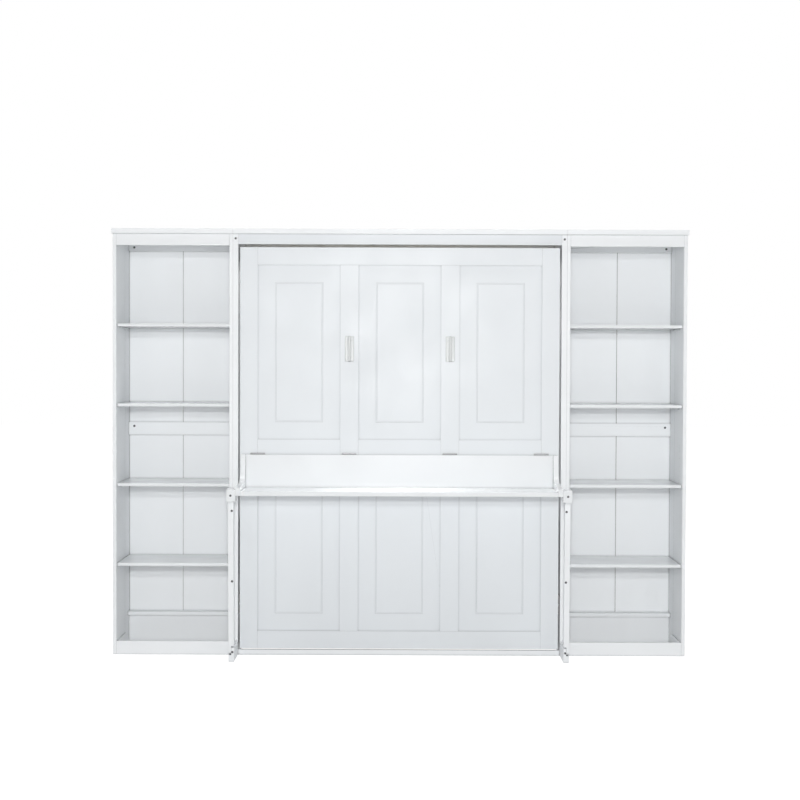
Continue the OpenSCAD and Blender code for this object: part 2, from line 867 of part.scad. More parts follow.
module strut_cylinder(side) {
    color(dark_steel) placed(side)
        difference() {
            union() {
                rod_z(strut_x, strut_y, [cylinder_low, cylinder_top], cylinder_r);
                rod_x(eye_x, strut_y, high_stud_z, eye_r);
            }
            rod_z(strut_x, strut_y, [cylinder_low - over, bore_top], rod_r + run_fit);
            rod_x([eye_x[0] - over, eye_x[1] + over], strut_y, high_stud_z, stud_r + run_fit);
        }
}

module strut_rod(side) {
    color(steel) placed(side) {
        rod_z(strut_x, strut_y, [low_stud_z, rod_top], rod_r);
        rod_x(eye_x, strut_y, low_stud_z, eye_r);
    }
}

outer_side(left);  // left_outer_side
inner_side(left);  // left_inner_side
book_top(left);  // left_top_board
front_rails(left);  // left_front_rails
back_rails(left);  // left_back_rails
back_panels(left);  // left_back_panels
bottom_cleats(left);  // left_bottom_cleats
shelf(left, 1);  // left_shelf_1
shelf(left, 2);  // left_shelf_2
shelf(left, 3);  // left_shelf_3
shelf(left, 4);  // left_shelf_4
shelf_pins(left);  // left_shelf_pins
outer_side(right);  // right_outer_side
inner_side(right);  // right_inner_side
book_top(right);  // right_top_board
front_rails(right);  // right_front_rails
back_rails(right);  // right_back_rails
back_panels(right);  // right_back_panels
bottom_cleats(right);  // right_bottom_cleats
shelf(right, 1);  // right_shelf_1
shelf(right, 2);  // right_shelf_2
shelf(right, 3);  // right_shelf_3
shelf(right, 4);  // right_shelf_4
shelf_pins(right);  // right_shelf_pins
case_side(left);  // case_side_left
case_side(right);  // case_side_right
case_top_board();
case_header();
case_plinth();
case_wall_rails();
case_pivots();
case_fasteners();
foot(left);  // foot_left
foot(right);  // foot_right
face_sheets();
face_stiles();
face_rails();
face_mullions();
bed_rail(left);  // bed_rail_left
bed_rail(right);  // bed_rail_right
bed_end_rails();
bed_slats();
bed_ledgers();
bed_pivots();
handle(left);  // handle_left
handle(right);  // handle_right
bed_hinge_leaves();
desk_top();
desk_back();
gusset(left);  // gusset_left
gusset(right);  // gusset_right
leg_heads();
desk_hinge_leaves();
desk_fasteners();
leg(left);  // leg_left
leg(right);  // leg_right
strut_cylinder(left);  // strut_cylinder_left
strut_cylinder(right);  // strut_cylinder_right
strut_rod(left);  // strut_rod_left
strut_rod(right);  // strut_rod_right
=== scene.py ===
"""Dresses a white wall bed with a fold down desk that stands between two open bookcases.

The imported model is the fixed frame. Each sub-assembly is a class that replaces the plain boards by boards
with eased edges, adds the small fittings and gives every piece its finish. Lengths are metres.
"""

from __future__ import annotations

import json
import logging
import math
from dataclasses import dataclass
from enum import Enum

import bmesh
import bpy
from mathutils import Matrix, Vector


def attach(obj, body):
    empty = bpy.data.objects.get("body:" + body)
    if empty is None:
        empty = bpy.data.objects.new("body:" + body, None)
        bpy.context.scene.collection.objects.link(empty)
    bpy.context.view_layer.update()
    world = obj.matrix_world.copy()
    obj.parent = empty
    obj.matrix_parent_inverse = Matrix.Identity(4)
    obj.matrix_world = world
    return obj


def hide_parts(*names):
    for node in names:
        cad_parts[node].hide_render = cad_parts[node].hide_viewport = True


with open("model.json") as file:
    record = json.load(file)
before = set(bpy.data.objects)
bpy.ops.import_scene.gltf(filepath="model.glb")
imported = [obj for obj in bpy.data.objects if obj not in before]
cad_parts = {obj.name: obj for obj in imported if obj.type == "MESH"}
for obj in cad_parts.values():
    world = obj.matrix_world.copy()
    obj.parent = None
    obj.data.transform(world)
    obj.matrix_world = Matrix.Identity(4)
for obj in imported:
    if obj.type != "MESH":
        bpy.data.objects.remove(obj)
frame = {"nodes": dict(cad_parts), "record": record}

LOG = logging.getLogger("wall_bed")

MM = 0.001
MERGE = 0.01 * MM
TIP_R = 0.001 * MM
PLACE_DIGITS = 4
EASE_SEGMENTS = 2
PLATE_EASE = 0.5 * MM
BOLT_EASE = 0.4 * MM
BOLT_WIDEST = 11.5 * MM
HINGE_EASE = 0.3 * MM
BEVEL_ANGLE = math.radians(32)
FLAT_ANGLE = math.radians(0.5)
CREASE_ANGLE = math.radians(40)

MIDDLE_SPAN = (0.3, 0.7)
FACING_SPAN = (0.75, 0.97)
# Spans and reach of ambient occlusion over which shade is painted into inner corners, slits and deep gaps
CORNER_SHADE_SPAN = (0.45, 0.92)
SLIT_SHADE_SPAN = (0.12, 0.3)
GAP_SHADE_SPAN = (0.04, 0.34)
GAP_SHADE_REACH = 150 * MM
PLAIN_SPECULAR = 0.5
OCCLUSION_SAMPLES = 8
WHITE = (1.0, 1.0, 1.0, 1.0)

Colour = tuple[float, float, float]
Point = tuple[float, float, float]
Span = tuple[float, float]
Piece = bpy.types.Object
Mesh = bpy.types.Mesh
Material = bpy.types.Material
Socket = bpy.types.NodeSocket
Shape = bmesh.types.BMesh
Corner = bmesh.types.BMVert

BODY_OF = {node: body for body, nodes in frame["record"]["behaviour"]["bodies"].items() for node in nodes}
SLOT_OF = {part["node"]: part["material_slot"] for part in frame["record"]["subparts"]}
MOUNTS = {mount["name"]: mount for mount in frame["record"]["mounts"]}


class Side(Enum):
    """Which half of the unit a piece belongs to, as seen from the room."""

    LEFT = -1
    RIGHT = 1

    @property
    def word(self) -> str:
        """Name of the side as the nodes spell it."""
        return self.name.lower()


class Grain(Enum):
    """Direction in which grain or brushing runs, as the stretch of the pattern along X, Y and Z."""

    EVEN = (1.0, 1.0, 1.0)
    ALONG_X = (0.05, 1.0, 1.0)
    ALONG_Z = (1.0, 1.0, 0.05)


# ---- node trees


def fill(node: bpy.types.Node, values: dict[str, object]) -> None:
    """Sets sockets of a node by their names, with _ for a space."""
    for key, value in values.items():
        node.inputs[key.replace("_", " ")].default_value = value


class Graph:
    """A node tree, with short calls for its nodes."""

    def __init__(self, tree: bpy.types.NodeTree) -> None:
        """Takes the tree that the nodes go into."""
        self.tree = tree

    def node(self, kind: str, **inputs: object) -> bpy.types.Node:
        """Adds a node.

        Args:
            kind: type of the node.
            inputs: values of its sockets, with _ for a space in the socket's name.

        Returns:
            The node.
        """
        made = self.tree.nodes.new(kind)
        fill(made, inputs)
        return made

    def link(self, source: Socket, target: Socket) -> None:
        """Joins two sockets."""
        self.tree.links.new(source, target)

    def maths(self, operation: str, *values: Socket) -> Socket:
        """Adds a maths node on one or two sockets and gives its value."""
        made = self.node("ShaderNodeMath")
        made.operation = operation
        for value, socket in zip(values, made.inputs):
            self.link(value, socket)
        return made.outputs[0]

    def show(self, shader: Socket, seen: Socket, output: bpy.types.Node) -> None:
        """Lets the camera, gloss and clear parts see one shader, and all other light another.

        Args:
            shader: what lights the unit.
            seen: what is seen.
            output: the output node of the tree.
        """
        path = self.node("ShaderNodeLightPath")
        share = path.outputs["Is Camera Ray"]
        for name in ("Is Glossy Ray", "Is Transmission Ray"):
            share = self.maths("MAXIMUM", share, path.outputs[name])
        mix = self.node("ShaderNodeMixShader")
        for source, socket in zip((share, shader, seen), mix.inputs):
            self.link(source, socket)
        self.link(mix.outputs[0], output.inputs["Surface"])


class Recipe(Graph):
    """A material under construction."""

    def __init__(self, name: str) -> None:
        """Starts a plain material of that name."""
        self.material = bpy.data.materials.new(name)
        self.material.use_nodes = True
        super().__init__(self.material.node_tree)
        self.shader = self.tree.nodes["Principled BSDF"]

    def set(self, **inputs: object) -> None:
        """Sets sockets of the shader itself, with _ for a space."""
        fill(self.shader, inputs)

    def place(self, grain: Grain) -> Socket:
        """Gives object coordinates that are stretched along a grain."""
        coordinates = self.node("ShaderNodeTexCoord")
        mapping = self.node("ShaderNodeMapping", Scale=grain.value)
        self.link(coordinates.outputs["Object"], mapping.inputs["Vector"])
        return mapping.outputs["Vector"]

    def noise(self, where: Socket, scale: float, detail: float = 2.0) -> Socket:
        """Adds a noise at a number of cells per metre and gives its value."""
        made = self.node("ShaderNodeTexNoise", Scale=scale, Detail=detail)
        self.link(where, made.inputs["Vector"])
        return made.outputs["Fac"]

    def ranged(self, value: Socket, span: Span, low: float, high: float) -> Socket:
        """Maps a value from a span to low and high, and holds it there outside the span."""
        made = self.node("ShaderNodeMapRange", From_Min=span[0], From_Max=span[1], To_Min=low, To_Max=high)
        self.link(value, made.inputs["Value"])
        return made.outputs["Result"]

    def between(self, fac: Socket, low: Colour, high: Colour) -> None:
        """Runs the base colour from low to high over the middle of fac."""
        ramp = self.node("ShaderNodeValToRGB")
        for stop, position, colour in zip(ramp.color_ramp.elements, MIDDLE_SPAN, (low, high)):
            stop.position = position
            stop.color = (*colour, 1.0)
        self.link(fac, ramp.inputs["Fac"])
        self.link(ramp.outputs["Color"], self.shader.inputs["Base Color"])

    def roughness(self, fac: Socket, low: float, high: float) -> None:
        """Runs the roughness from low to high over the middle of fac."""
        self.link(self.ranged(fac, MIDDLE_SPAN, low, high), self.shader.inputs["Roughness"])

    def bump(self, height: Socket, depth: float) -> None:
        """Raises the surface by height, at most depth metres."""
        made = self.node("ShaderNodeBump", Distance=depth)
        self.link(height, made.inputs["Height"])
        self.link(made.outputs["Normal"], self.shader.inputs["Normal"])

    def open_share(self, reach: float) -> Socket:
        """Gives how much of the surroundings within a reach is open, from 0 to 1."""
        made = self.node("ShaderNodeAmbientOcclusion", Distance=reach)
        made.samples = OCCLUSION_SAMPLES
        return made.outputs["AO"]

    def crevices(self, reach: float, keep: float) -> None:
        """Paints shade into the base colour, greyer in inner corners and black in slits, and takes the gloss
        out of deep gaps as painted shade.

        Args:
            reach: how far from a corner the painted shade starts.
            keep: share of the colour that is left in the deepest corner.
        """
        base = self.shader.inputs["Base Color"]
        shaded = base.links[0].from_socket
        near = self.open_share(reach)
        # painted shade: the tint greys towards inner corners, then goes black in slits
        for share in (self.ranged(near, CORNER_SHADE_SPAN, keep, 1.0), self.ranged(near, SLIT_SHADE_SPAN, 0.0, 1.0)):
            scaled = self.node("ShaderNodeVectorMath")
            scaled.operation = "SCALE"
            self.link(shaded, scaled.inputs[0])
            self.link(share, scaled.inputs["Scale"])
            shaded = scaled.outputs[0]
        self.link(shaded, base)
        # painted shade: the gloss goes out where a deep gap closes off the surroundings
        gloss = self.ranged(self.open_share(GAP_SHADE_REACH), GAP_SHADE_SPAN, 0.0, PLAIN_SPECULAR)
        self.link(gloss, self.shader.inputs["Specular IOR Level"])

    def edges(self, tint: Colour) -> None:
        """Gives everything that doesn't face along Y another base colour, as on a sheet with raw edges."""
        base = self.shader.inputs["Base Color"]
        clean = base.links[0].from_socket
        normal = self.node("ShaderNodeSeparateXYZ")
        self.link(self.node("ShaderNodeTexCoord").outputs["Normal"], normal.inputs[0])
        flat = self.maths("ABSOLUTE", normal.outputs["Y"])
        mix = self.node("ShaderNodeMixRGB", Color1=(*tint, 1.0))
        self.link(self.ranged(flat, FACING_SPAN, 0.0, 1.0), mix.inputs["Fac"])
        self.link(clean, mix.inputs["Color2"])
        self.link(mix.outputs[0], base)


# ---- finishes


@dataclass(frozen=True)
class Finish:
    """A surface whose tint, gloss and relief follow fine patterns, with painted shade greying its inner
    corners.
    """

    name: str
    tint: Colour
    gloss: Span = (0.40, 0.50)
    grain: Grain = Grain.EVEN
    shade: float = 1.0
    patches: float = 2.3
    gloss_patches: float = 5.0
    texture: float = 620.0
    texture_detail: float = 3.0
    relief: float = 0.06 * MM
    # painted shade: share of the tint left in the deepest corner, and how far it reaches
    crevice_keep: float = 1.0
    crevice_reach: float = 12 * MM
    edge_tint: Colour | None = None
    sockets: tuple[tuple[str, float], ...] = ()

    @property
    def low(self) -> Colour:
        """The tint where its pattern is lowest."""
        return tuple(part * self.shade for part in self.tint)

    def patterns(self, recipe: Recipe, where: Socket) -> tuple[Socket, Socket]:
        """Gives the patterns that the tint and the relief follow."""
        return recipe.noise(where, self.patches), recipe.noise(where, self.texture, self.texture_detail)

    def make(self) -> Material:
        """Builds the material."""
        recipe = Recipe(self.name)
        where = recipe.place(self.grain)
        tint, relief = self.patterns(recipe, where)
        recipe.between(tint, self.low, self.tint)
        recipe.roughness(recipe.noise(where, self.gloss_patches), *self.gloss)
        recipe.bump(relief, self.relief)
        if self.edge_tint:
            recipe.edges(self.edge_tint)
        # painted shade in inner corners, slits and deep gaps
        if self.crevice_keep < 1.0:
            recipe.crevices(self.crevice_reach, self.crevice_keep)
        recipe.set(**dict(self.sockets))
        return recipe.material


@dataclass(frozen=True)
class PaintedBoard(Finish):
    """Satin white board with a faint roller texture and painted shade in its inner corners."""

    shade: float = 0.985
    # painted shade in the inner corners
    crevice_keep: float = 0.74
    crevice_reach: float = 13 * MM
    sockets: tuple[tuple[str, float], ...] = (("IOR", 1.46),)


@dataclass(frozen=True)
class BareWood(Finish):
    """Planed pine with growth lines that follow the board."""

    tint: Colour = (0.79, 0.66, 0.46)
    dark: Colour = (0.73, 0.585, 0.385)
    gloss: Span = (0.55, 0.7)
    gloss_patches: float = 30.0
    relief: float = 0.12 * MM
    lines: float = 80.0
    waver: float = 9.0
    waver_scale: float = 0.3

    @property
    def low(self) -> Colour:
        """The tint of the growth lines."""
        return self.dark

    def patterns(self, recipe: Recipe, where: Socket) -> tuple[Socket, Socket]:
        """Lets the tint and the relief follow the growth lines."""
        wave = recipe.node(
            "ShaderNodeTexWave", Scale=self.lines, Distortion=self.waver, Detail_Scale=self.waver_scale
        )
        wave.bands_direction = "X" if self.grain is Grain.ALONG_Z else "Z"
        recipe.link(where, wave.inputs["Vector"])
        return wave.outputs["Fac"], wave.outputs["Fac"]


@dataclass(frozen=True)
class Metal(Finish):
    """Metal with fine marks along its grain."""

    gloss: Span = (0.25, 0.38)
    grain: Grain = Grain.ALONG_Z
    shade: float = 0.92
    texture: float = 900.0
    gloss_patches: float = 150.0
    relief: float = 0.02 * MM
    sockets: tuple[tuple[str, float], ...] = (("Metallic", 1.0),)

    def patterns(self, recipe: Recipe, where: Socket) -> tuple[Socket, Socket]:
        """Lets the tint and the relief follow the marks."""
        marks = recipe.noise(where, self.texture, self.texture_detail)
        return marks, marks


@dataclass(frozen=True)
class GlossPaint(Finish):
    """Gloss paint over metal, slightly uneven."""

    gloss: Span = (0.22, 0.32)
    shade: float = 0.8
    patches: float = 14.0
    gloss_patches: float = 9.0
    texture: float = 380.0
    texture_detail: float = 2.0
    relief: float = 0.03 * MM
    sockets: tuple[tuple[str, float], ...] = (("Coat_Weight", 0.6), ("Coat_Roughness", 0.12))


class Finishes:
    """All finishes of the unit: one per material slot, and the looks that some pieces have of their own."""

    def __init__(self) -> None:
        """Builds the materials."""
        # strong painted shade that darkens the handle's inner corners and edges
        nickel = {"sockets": (("Metallic", 0.45),), "crevice_keep": 0.4}
        slots = (
            # the face paint is darker and the board paint lighter than one white: painted shade on the
            # fronts, painted light in the bookcases
            PaintedBoard("white_board", (0.90, 0.92, 0.935)),
            PaintedBoard("white_face", (0.78, 0.81, 0.835), (0.36, 0.44), crevice_keep=0.8),
            BareWood("bare_pine", grain=Grain.ALONG_X),
            Metal("bright_steel", (0.62, 0.63, 0.64)),
            Metal("dark_steel", (0.10, 0.10, 0.105), (0.35, 0.5), Grain.ALONG_X),
            GlossPaint("black_cylinder", (0.04375, 0.04375, 0.0475)),
            Metal("satin_nickel", (0.575, 0.59, 0.59), (0.5, 0.6), **nickel),
        )
        # a darker copy of the bright steel with strong painted shade, for plates deep in the gap beside the
        # bed
        hidden = {"crevice_keep": 0.25, "crevice_reach": 90 * MM}
        looks = (
            # smooth boards are a little darker and back panels a little lighter than the board paint: painted
            # shade on the desk, painted light on the back panels
            PaintedBoard("smooth_board", (0.88, 0.90, 0.915), (0.13, 0.2), relief=0.01 * MM),
            PaintedBoard("raw_edged_panel", (0.91, 0.93, 0.945), edge_tint=(0.26, 0.24, 0.22)),
            Metal("hinge_steel", (0.33, 0.335, 0.34), (0.3, 0.42), Grain.ALONG_X),
            Metal("hidden_steel", (0.34, 0.345, 0.35), **hidden),
            BareWood("bare_pine_upright", grain=Grain.ALONG_Z),
        )
        self.by_slot = {finish.name: finish.make() for finish in slots}
        made = (finish.make() for finish in looks)
        self.smooth_board, self.raw_edged, self.hinge_steel, self.hidden_steel, self.pine_upright = made


# ---- mesh tools


def object_of(data: bpy.types.ID, name: str) -> Piece:
    """Links a mesh, lamp or camera to the scene as an object at the origin."""
    made = bpy.data.objects.new(name, data)
    bpy.context.scene.collection.objects.link(made)
    return made


def plain_mesh(source: Piece, name: str) -> Piece:
    """Turns an object with modifiers into a plain mesh object at the origin.

    Args:
        source: the object, which is removed.
        name: name of the new piece.

    Returns:
        The new piece.
    """
    bpy.context.view_layer.update()
    graph = bpy.context.evaluated_depsgraph_get()
    mesh = bpy.data.meshes.new_from_object(source.evaluated_get(graph), depsgraph=graph)
    old = source.data
    bpy.data.objects.remove(source)
    bpy.data.meshes.remove(old)
    mesh.name = name
    return object_of(mesh, name)


def add_eased_edges(piece: Piece, radius: float) -> None:
    """Adds the modifiers that round all sharp edges to a radius and keep the large faces flat."""
    bevel = piece.modifiers.new("eased", "BEVEL")
    bevel.width = radius
    bevel.segments = EASE_SEGMENTS
    bevel.limit_method = "ANGLE"
    bevel.angle_limit = BEVEL_ANGLE
    bevel.use_clamp_overlap = False
    bevel.miter_outer = "MITER_ARC"
    normals = piece.modifiers.new("flat_faces", "WEIGHTED_NORMAL")
    normals.keep_sharp = True


def smooth_all(mesh: Mesh) -> None:
    """Marks every face of a mesh as smooth."""
    mesh.polygons.foreach_set("use_smooth", [True] * len(mesh.polygons))


def mesh_of(shape: Shape, name: str) -> Mesh:
    """Makes a smooth mesh from a shape and frees the shape."""
    mesh = bpy.data.meshes.new(name)
    shape.to_mesh(mesh)
    shape.free()
    smooth_all(mesh)
    return mesh


def piece_of(shape: Shape, name: str) -> Piece:
    """Makes an object with clear creases from a shape and frees the shape."""
    mesh = mesh_of(shape, name)
    mesh.set_sharp_from_angle(angle=CREASE_ANGLE)
    return object_of(mesh, name)


def join(pieces: list[Piece], name: str) -> Piece:
    """Joins plain meshes into one piece.

    Args:
        pieces: the objects, which are removed.
        name: name of the new piece.

    Returns:
        The piece.
    """
    shape = bmesh.new()
    for piece in pieces:
        shape.from_mesh(piece.data)
        bpy.data.objects.remove(piece)
    return object_of(mesh_of(shape, name), name)


def set_material(piece: Piece, material: Material) -> None:
    """Gives a piece one material."""
    piece.data.materials.clear()
    piece.data.materials.append(material)


def copy_of_node(node: str) -> Mesh:
    """Copies a CAD node's mesh, with its doubles merged and its flat faces joined.

    Args:
        node: name of the node.

    Returns:
        The new mesh.
    """
    mesh = frame["nodes"][node].data.copy()
    shape = bmesh.new()
    shape.from_mesh(mesh)
    bmesh.ops.remove_doubles(shape, verts=shape.verts, dist=MERGE)
    bmesh.ops.dissolve_limit(
        shape, angle_limit=FLAT_ANGLE, verts=shape.verts, edges=shape.edges, delimit={"NORMAL"}
    )
    shape.to_mesh(mesh)
    shape.free()
    smooth_all(mesh)
    return mesh


@dataclass
class Workshop:
    """Makes pieces for the unit and gives each its body and finish."""

    finishes: Finishes

    def attach(self, piece: Piece, body: str, slot: str, look: Material | None = None) -> None:
        """Lets a piece ride on a body.

        Args:
            piece: the piece.
            body: the body that it moves with.
            slot: slot of its finish.
            look: a finish other than the slot's.
        """
        set_material(piece, look or self.finishes.by_slot[slot])
        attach(piece, body)
        LOG.info("%s rides on %s", piece.name, body)

    def hand_over(self, piece: Piece, node: str, look: Material | None = None, slot: str = "") -> None:
        """Lets a piece stand for a node and ride on its body.

        Args:
            piece: the piece.
            node: the node it replaces.
            look: a finish other than the slot's.
            slot: a slot other than the node's own.
        """
        self.attach(piece, BODY_OF[node], slot or SLOT_OF[node], look)
        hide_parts(node)

    def ease(
        self, node: str, radius: float, look: Material | None = None, slot: str = "", only: int = 0
    ) -> None:
        """Makes a copy of a node with eased edges that stands for it.

        Args:
            node: name of the node.
            radius: width of the rounding.
            look: a finish other than the slot's.
            slot: a slot other than the node's own.
            only: how many of its largest solids are kept, where not all.
        """
        mesh = copy_of_node(node)
        if only:
            keep_largest(mesh, only)
        rough = object_of(mesh, node + "_rough")
        add_eased_edges(rough, radius)
        self.hand_over(plain_mesh(rough, node + "_eased"), node, look, slot)


# ---- CAD solids


@dataclass(frozen=True)
class Extent:
    """The box round one solid of a node."""

    low: Vector
    high: Vector

    @property
    def middle(self) -> Vector:
        """Centre of the box."""
        return (self.low + self.high) / 2

    @property
    def size(self) -> Vector:
        """Lengths of the box."""
        return self.high - self.low


def islands(shape: Shape) -> list[list[Corner]]:
    """Splits the corners of a shape into its separate solids."""
    found, seen = [], set()
    for first in shape.verts:
        if first in seen:
            continue
        seen.add(first)
        waiting, corners = [first], []
        while waiting:
            vert = waiting.pop()
            corners.append(vert)
            for edge in vert.link_edges:
                other = edge.other_vert(vert)
                if other not in seen:
                    seen.add(other)
                    waiting.append(other)
        found.append(corners)
    return found


def extent_of(corners: list[Corner]) -> Extent:
    """Gives the box round some corners."""
    places = [vert.co for vert in corners]
    return Extent(Vector(map(min, zip(*places))), Vector(map(max, zip(*places))))


def solids_of(node: str) -> list[Extent]:
    """Finds the separate solids of a CAD node.

    Args:
        node: name of the node.

    Returns:
        The boxes round them, ordered by height, then depth, then width.
    """
    shape = bmesh.new()
    shape.from_mesh(frame["nodes"][node].data)
    bmesh.ops.remove_doubles(shape, verts=shape.verts, dist=MERGE)
    found = [extent_of(corners) for corners in islands(shape)]
    shape.free()
    return sorted(found, key=lambda box: (box.middle.z, box.middle.y, box.middle.x))


def keep_largest(mesh: Mesh, count: int) -> None:
    """Removes all solids of a mesh but the largest ones."""
    shape = bmesh.new()
    shape.from_mesh(mesh)
    ordered = sorted(islands(shape), key=lambda corners: extent_of(corners).size.length, reverse=True)
    for corners in ordered[count:]:
        bmesh.ops.delete(shape, geom=corners, context="VERTS")
    shape.to_mesh(mesh)
    shape.free()


# ---- repeats


@dataclass(frozen=True)
class Lattice:
    """Copies of one prototype on a lattice of points, made by Geometry Nodes."""

    start: Point
    counts: tuple[int, int, int] = (1, 1, 1)
    pitch: Point = (0.0, 0.0, 0.0)

    SOCKETS = {
        "Prototype": "Object",
        "Start": "Vector",
        "Pitch": "Vector",
        "Count X": "Int",
        "Count Y": "Int",
        "Count Z": "Int",
    }

    @staticmethod
    def tree() -> bpy.types.NodeTree:
        """Builds the node tree once and gives it."""
        found = bpy.data.node_groups.get("lattice")
        if found:
            return found
        graph = Graph(bpy.data.node_groups.new("lattice", "GeometryNodeTree"))
        sockets = graph.tree.interface
        sockets.new_socket("Geometry", in_out="OUTPUT", socket_type="NodeSocketGeometry")
        for name, kind in Lattice.SOCKETS.items():
            sockets.new_socket(name, in_out="INPUT", socket_type="NodeSocket" + kind)
        given = graph.node("NodeGroupInput").outputs
        across, back, up = (given["Count " + axis] for axis in "XYZ")
        index = graph.node("GeometryNodeInputIndex").outputs[0]
        layer = graph.maths("MULTIPLY", across, back)
        row = graph.maths("FLOOR", graph.maths("DIVIDE", index, across))
        steps = (
            graph.maths("MODULO", index, across),
            graph.maths("MODULO", row, back),
            graph.maths("FLOOR", graph.maths("DIVIDE", index, layer)),
        )
        combine = graph.node("ShaderNodeCombineXYZ")
        move = graph.node("ShaderNodeVectorMath")
        move.operation = "MULTIPLY_ADD"
        kinds = ("Points", "ObjectInfo", "InstanceOnPoints", "RealizeInstances")
        points, source, place, real = (graph.node("GeometryNode" + kind) for kind in kinds)
        for start, end in (
            *zip(steps, combine.inputs),
            *zip((combine.outputs[0], given["Pitch"], given["Start"]), move.inputs),
            (graph.maths("MULTIPLY", layer, up), points.inputs["Count"]),
            (move.outputs[0], points.inputs["Position"]),
            (given["Prototype"], source.inputs["Object"]),
            (points.outputs[0], place.inputs["Points"]),
            (source.outputs["Geometry"], place.inputs["Instance"]),
            (place.outputs["Instances"], real.inputs["Geometry"]),
            (real.outputs["Geometry"], graph.node("NodeGroupOutput").inputs["Geometry"]),
        ):
            graph.link(start, end)
        return graph.tree

    @classmethod
    def through(cls, places: list[Vector]) -> Lattice:
        """Finds the lattice that runs through evenly spaced places."""
        lines = [sorted({round(place[axis], PLACE_DIGITS) for place in places}) for axis in range(3)]
        counts = tuple(len(line) for line in lines)
        pitch = tuple((line[-1] - line[0]) / max(len(line) - 1, 1) for line in lines)
        return cls(tuple(line[0] for line in lines), counts, pitch)

    def grow(self, prototype: Piece, name: str) -> Piece:
        """Makes the copies as one plain mesh.

        Args:
            prototype: the object to repeat, modelled round the origin.
            name: name of the new piece.

        Returns:
            The piece.
        """
        values = dict(zip(self.SOCKETS, (prototype, self.start, self.pitch, *self.counts)))
        carrier = object_of(bpy.data.meshes.new(name + "_carrier"), name + "_carrier")
        modifier = carrier.modifiers.new("lattice", "NODES")
        modifier.node_group = self.tree()
        for item in modifier.node_group.interface.items_tree:
            if item.in_out == "INPUT":
                modifier[item.identifier] = values[item.name]
        return plain_mesh(carrier, name)


def repeat(shape: Shape, lattices: list[Lattice], name: str) -> Piece:
    """Lays copies of a shape on lattices.

    Args:
        shape: the shape, modelled round the origin; it is freed.
        lattices: where the copies go.
        name: name of the new piece.

    Returns:
        The copies as one plain mesh.
    """
    prototype = piece_of(shape, name + "_prototype")
    rows = [lattice.grow(prototype, f"{name}_{i}") for i, lattice in enumerate(lattices)]
    mesh = prototype.data
    bpy.data.objects.remove(prototype)
    bpy.data.meshes.remove(mesh)
    return join(rows, name)


# ---- shapes


def circle(radius: float, z: float, count: int) -> list[Point]:
    """Gives evenly spaced points on a level circle."""
    turns = [2 * math.pi * i / count for i in range(count)]
    return [(radius * math.cos(a), radius * math.sin(a), z) for a in turns]


def bridge(shape: Shape, low: list[Corner], high: list[Corner]) -> None:
    """Closes the band between two loops of equal length, one of which may be a single tip."""
    count = max(len(low), len(high))
    for i in range(count):
        j = (i + 1) % count
        band = (low[i % len(low)], low[j % len(low)], high[j % len(high)], high[i % len(high)])
        shape.faces.new(tuple(dict.fromkeys(band)))


def skin(shape: Shape, rings: list[list[Point]]) -> list[list[Corner]]:
    """Adds rings of points to a shape, closes the bands between them and gives their corners."""
    loops = [[shape.verts.new(point) for point in ring] for ring in rings]
    for low, high in zip(loops, loops[1:]):
        bridge(shape, low, high)
    return loops


def lathe(profile: list[tuple[float, float]], axis: str, count: int) -> Shape:
    """Turns a profile round an axis through the origin.

    Args:
        profile: pairs of radius and distance along the axis, from one closed end to the other.
        axis: X, Y or Z.
        count: number of steps round.

    Returns:
        The closed shape.
    """
    shape = bmesh.new()
    skin(shape, [circle(radius, along, 1 if radius < TIP_R else count) for radius, along in profile])
    turns = {"X": Matrix.Rotation(math.pi / 2, 4, "Y"), "Y": Matrix.Rotation(-math.pi / 2, 4, "X")}
    if axis in turns:
        shape.transform(turns[axis])
    bmesh.ops.recalc_face_normals(shape, faces=shape.faces)
    return shape


def loft(rings: list[list[Point]]) -> Shape:
    """Skins rings of equal length and closes both ends.

    Args:
        rings: the rings, from one end to the other.

    Returns:
        The closed shape.
    """
    shape = bmesh.new()
    loops = skin(shape, rings)
    shape.faces.new(loops[0][::-1])
    shape.faces.new(loops[-1])
    bmesh.ops.recalc_face_normals(shape, faces=shape.faces)
    return shape


def facing(shape: Shape, direction: Point) -> Shape:
    """Turns a shape that faces up so that it faces a direction."""
    turn = Vector((0.0, 0.0, 1.0)).rotation_difference(Vector(direction))
    shape.transform(turn.to_matrix().to_4x4())
    return shape


@dataclass(frozen=True)
class SoftBar:
    """A straight bar along Z with round long edges, a crowned face towards -Y and eased ends."""

    width: float
    depth: float
    length: float
    corner: float
    crown: float = 0.0
    end_ease: float = 1 * MM
    corner_steps: int = 4
    face_steps: int = 6
    end_steps: int = 3
    least_r: float = 0.1 * MM

    def outline(self, inset: float) -> list[tuple[float, float]]:
        """Gives the section across the bar.

        Args:
            inset: how much smaller it is all round.

        Returns:
            Pairs of width and depth.
        """
        radius = max(self.corner - inset, self.least_r)
        half_w = self.width / 2 - inset - radius
        half_d = self.depth / 2 - inset - radius
        points = []
        for turn, (side_w, side_d) in enumerate(((1, 1), (-1, 1), (-1, -1), (1, -1))):
            for step in range(self.corner_steps + 1):
                angle = math.pi / 2 * (turn + step / self.corner_steps)
                points.append(
                    (side_w * half_w + radius * math.cos(angle), side_d * half_d + radius * math.sin(angle))
                )
            if turn == 2:
                for step in range(1, self.face_steps):
                    share = 2 * step / self.face_steps - 1
                    points.append((half_w * share, -half_d - radius - self.crown * (1 - share * share)))
        return points

    def shape(self) -> Shape:
        """Builds the bar, centred on the origin."""
        half = self.length / 2
        ends = []
        for step in range(self.end_steps + 1):
            angle = math.pi / 2 * step / self.end_steps
            ends.append((half - self.end_ease * (1 - math.sin(angle)), self.end_ease * (1 - math.cos(angle))))
        stations = [(-z, inset) for z, inset in reversed(ends)] + ends
        return loft([[(x, y, z) for x, y in self.outline(inset)] for z, inset in stations])


